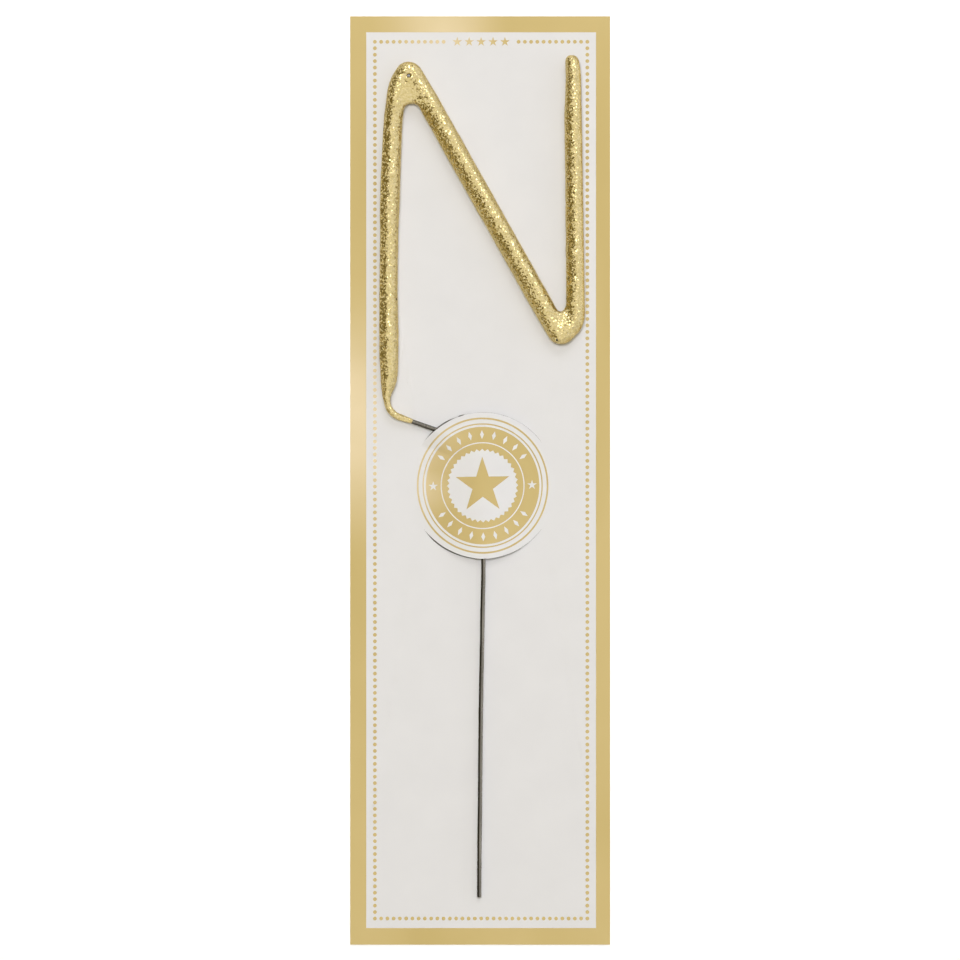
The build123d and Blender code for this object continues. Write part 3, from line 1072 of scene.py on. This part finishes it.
# %% White board
card_board, tree, shader = new_material("card_board")
clouds = object_noise(tree, 9 * MM, detail=3)
shade = ramp(tree, clouds, low=(0.79, 0.787, 0.815), high=(0.81, 0.807, 0.835))
tree.links.new(shade, shader.inputs["Base Color"])
shader.inputs["Roughness"].default_value = 0.62
shader.inputs["Specular IOR Level"].default_value = 0.3
fibres = object_noise(tree, 0.35 * MM, detail=4, stretch=(1, 0.6, 1))
bump(tree, shader, fibres, depth=0.008 * MM)
tell_finish(card_board)

# %% [markdown]
# Stamped foil is a satin metal. It is paler in three patches: the left border beside the medallion, the top
# border left of the middle, and the left of the medallion's band. Round spots blend a pale gold over the warm
# one there, a painted sheen for the light that the foil mirrors in those places.

# %% Gold foil
gold_foil, tree, shader = new_material("gold_foil")
# Painted sheen: pale gold spots stand in for light that the foil mirrors in these places.
painted_sheen_patches = (
    (mm(-28.5, 14, card_thickness), 34 * MM, 0.9),
    (mm(-9, 105, card_thickness), 17 * MM, 0.75),
    (mm(-12.5, -2, 1.5), 9 * MM, 0.65),
)
painted_sheen = spot(tree, *painted_sheen_patches[0])
for patch in painted_sheen_patches[1:]:
    painted_sheen = strongest(tree, painted_sheen, spot(tree, *patch))
warm_clouds = object_noise(tree, 22 * MM, detail=2, stretch=(1, 0.45, 1))
warm = ramp(tree, warm_clouds, low=(0.53, 0.41, 0.172), high=(0.58, 0.455, 0.21))
pale = ramp(tree, object_noise(tree, 14 * MM, detail=2), low=(0.72, 0.6, 0.38), high=(0.78, 0.65, 0.44))
tree.links.new(blend(tree, painted_sheen, warm, pale), shader.inputs["Base Color"])
shader.inputs["Metallic"].default_value = 1.0
satin = remap(tree, object_noise(tree, 6 * MM, detail=3), low=0.3, high=0.4)
tree.links.new(satin, shader.inputs["Roughness"])
peel = object_noise(tree, 0.8 * MM, detail=3)
bump(tree, shader, peel, depth=0.006 * MM)
tell_finish(gold_foil)

# %% [markdown]
# The lacquer is full of glitter: small flakes that each mirror another part of the tent. A noise bump gives
# soft ripples, not flakes, so the surface is split into cells, and each cell tilts it in a way of its own.
# In the smooth pool of the upper crotch the flakes lie flatter. The burst bubble is a dark ring with a pale
# middle, and the pits are dark: the near black of the ring and the pits is painted shade of their hollows.

# %% Gold lacquer
flake_size = 0.3 * MM
flake_tilt = 0.55
pool_tilt = 0.4
pool_front = mm(0, 0, 4.5)
gold_lacquer, tree, shader = new_material("gold_lacquer")
tint = ramp(tree, object_noise(tree, 0.5 * MM, detail=3), low=(0.55, 0.445, 0.185), high=(0.69, 0.575, 0.32))
burst = spot(tree, front_at(coat, bubble), radius=0.8 * MM, strength=1.0)
pits = strongest(tree, spot(tree, front_at(coat, bottom_pit), radius=0.6 * MM, strength=0.6),
                 spot(tree, front_at(coat, stem_pit), radius=0.6 * MM, strength=0.6))
# Painted shade: near black in the pits and in the ring round the bubble's pale middle.
grey = ramp(tree, burst, low=(0.05, 0.045, 0.035), high=(0.45, 0.42, 0.36), low_at=0.6, high_at=0.95)
bare = remap(tree, strongest(tree, burst, pits), low=0, high=1, from_low=0.25, from_high=0.4)
tree.links.new(blend(tree, bare, tint, grey), shader.inputs["Base Color"])
shader.inputs["Metallic"].default_value = 1.0
shader.inputs["Roughness"].default_value = 0.18
shader.inputs["Specular Tint"].default_value = (0.95, 0.8, 0.45, 1)
shader.inputs["Coat Weight"].default_value = 0.1
shader.inputs["Coat Roughness"].default_value = 0.2
tell_finish(gold_lacquer)

# %% Flakes in the lacquer
place = add_node(tree, "ShaderNodeTexCoord")
flakes = add_node(tree, "ShaderNodeTexVoronoi", Scale=1 / flake_size)
tree.links.new(place.outputs["Object"], flakes.inputs["Vector"])
random_tilt = add_node(tree, "ShaderNodeVectorMath", operation="SUBTRACT")
random_tilt.inputs[1].default_value = (0.5, 0.5, 0.5)
tree.links.new(flakes.outputs["Color"], random_tilt.inputs[0])
pool = spot(tree, smooth_pool + pool_front, smooth_reach, strength=1.0)
tilt = add_node(tree, "ShaderNodeVectorMath", operation="SCALE")
tree.links.new(random_tilt.outputs["Vector"], tilt.inputs[0])
amount = remap(tree, pool, flake_tilt, pool_tilt, from_low=0.2, from_high=0.8)
tree.links.new(amount, tilt.inputs["Scale"])
face = add_node(tree, "ShaderNodeNewGeometry")
tilted = add_node(tree, "ShaderNodeVectorMath", operation="ADD")
tree.links.new(face.outputs["Normal"], tilted.inputs[0])
tree.links.new(tilt.outputs["Vector"], tilted.inputs[1])
straight = add_node(tree, "ShaderNodeVectorMath", operation="NORMALIZE")
tree.links.new(tilted.outputs["Vector"], straight.inputs[0])
tree.links.new(straight.outputs["Vector"], shader.inputs["Normal"])
tell_finish(gold_lacquer)

# %% [markdown]
# Drawn wire has a dark skin with fine lines along it. It is pale along one side, the one that faces away from
# the card and to the right. The lamps here don't give that, so a painted highlight is blended in on that
# side, picked out by the direction of the surface, which turns with the piece, not with the camera.

# %% Dark drawn steel
dark_steel, tree, shader = new_material("dark_steel")
lines = object_noise(tree, 0.25 * MM, detail=3, stretch=(1, 0.02, 1))
dark_skin = ramp(tree, lines, low=(0.02, 0.018, 0.015), high=(0.075, 0.069, 0.058))
painted_highlight_steel = ramp(tree, lines, low=(0.14, 0.13, 0.112), high=(0.31, 0.29, 0.25))
# Painted highlight: the side facing up and to the right is blended from the dark skin to pale steel.
highlight_side = Vector((1, 0, 1)).normalized()
facing = add_node(tree, "ShaderNodeVectorMath", operation="DOT_PRODUCT")
facing.inputs[1].default_value = highlight_side
place = add_node(tree, "ShaderNodeTexCoord")
tree.links.new(place.outputs["Normal"], facing.inputs[0])
painted_highlight_share = remap(tree, facing.outputs["Value"], 0, 1, from_low=0.5, from_high=0.95, smooth="SMOOTHSTEP")
tree.links.new(blend(tree, painted_highlight_share, dark_skin, painted_highlight_steel), shader.inputs["Base Color"])
shader.inputs["Metallic"].default_value = 1.0
polish = remap(tree, object_noise(tree, 1.5 * MM, detail=3), low=0.2, high=0.3)
tree.links.new(polish, shader.inputs["Roughness"])
bump(tree, shader, lines, depth=0.012 * MM)
tell_finish(dark_steel)

# %% [markdown]
# The burning mix is a dry grey paste of metal powder. It is out of sight under the lacquer, so one noise does
# for both its specks and its grain.

# %% Grey burning mix
grey_mix, tree, shader = new_material("grey_mix")
speck = object_noise(tree, 0.3 * MM, detail=4)
dry_grey = ramp(tree, speck, low=(0.25, 0.25, 0.26), high=(0.42, 0.42, 0.43))
tree.links.new(dry_grey, shader.inputs["Base Color"])
shader.inputs["Roughness"].default_value = 0.85
bump(tree, shader, speck, depth=0.08 * MM)
tell_finish(grey_mix)

# %% [markdown]
# ## Dressing
# The solids that still show take the finish of their own slot. Each new piece gets a finish, looked up by its
# slot's name, and the body that it moves with.

# %% Dress the pieces
finishes = {"card_board": card_board, "gold_foil": gold_foil, "gold_lacquer": gold_lacquer,
            "dark_steel": dark_steel, "burning_mix": grey_mix}
for subpart in frame["record"]["subparts"]:
    node = nodes[subpart["node"]]
    node.data.materials.clear()
    node.data.materials.append(finishes[subpart["material_slot"]])


def dress(piece, body, slot):
    """Gives a piece the finish kept under a slot's name, and its body."""
    piece.data.materials.clear()
    piece.data.materials.append(finishes[slot])
    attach(piece, body)
    print(piece.name, "rides on", body, "with", slot)


dress(wire, "sparkler", "dark_steel")
dress(coat, "sparkler", "gold_lacquer")
dress(mix, "sparkler", "burning_mix")
dress(card, "card", "card_board")
for piece in foil_pieces:
    dress(piece, "card", "gold_foil")
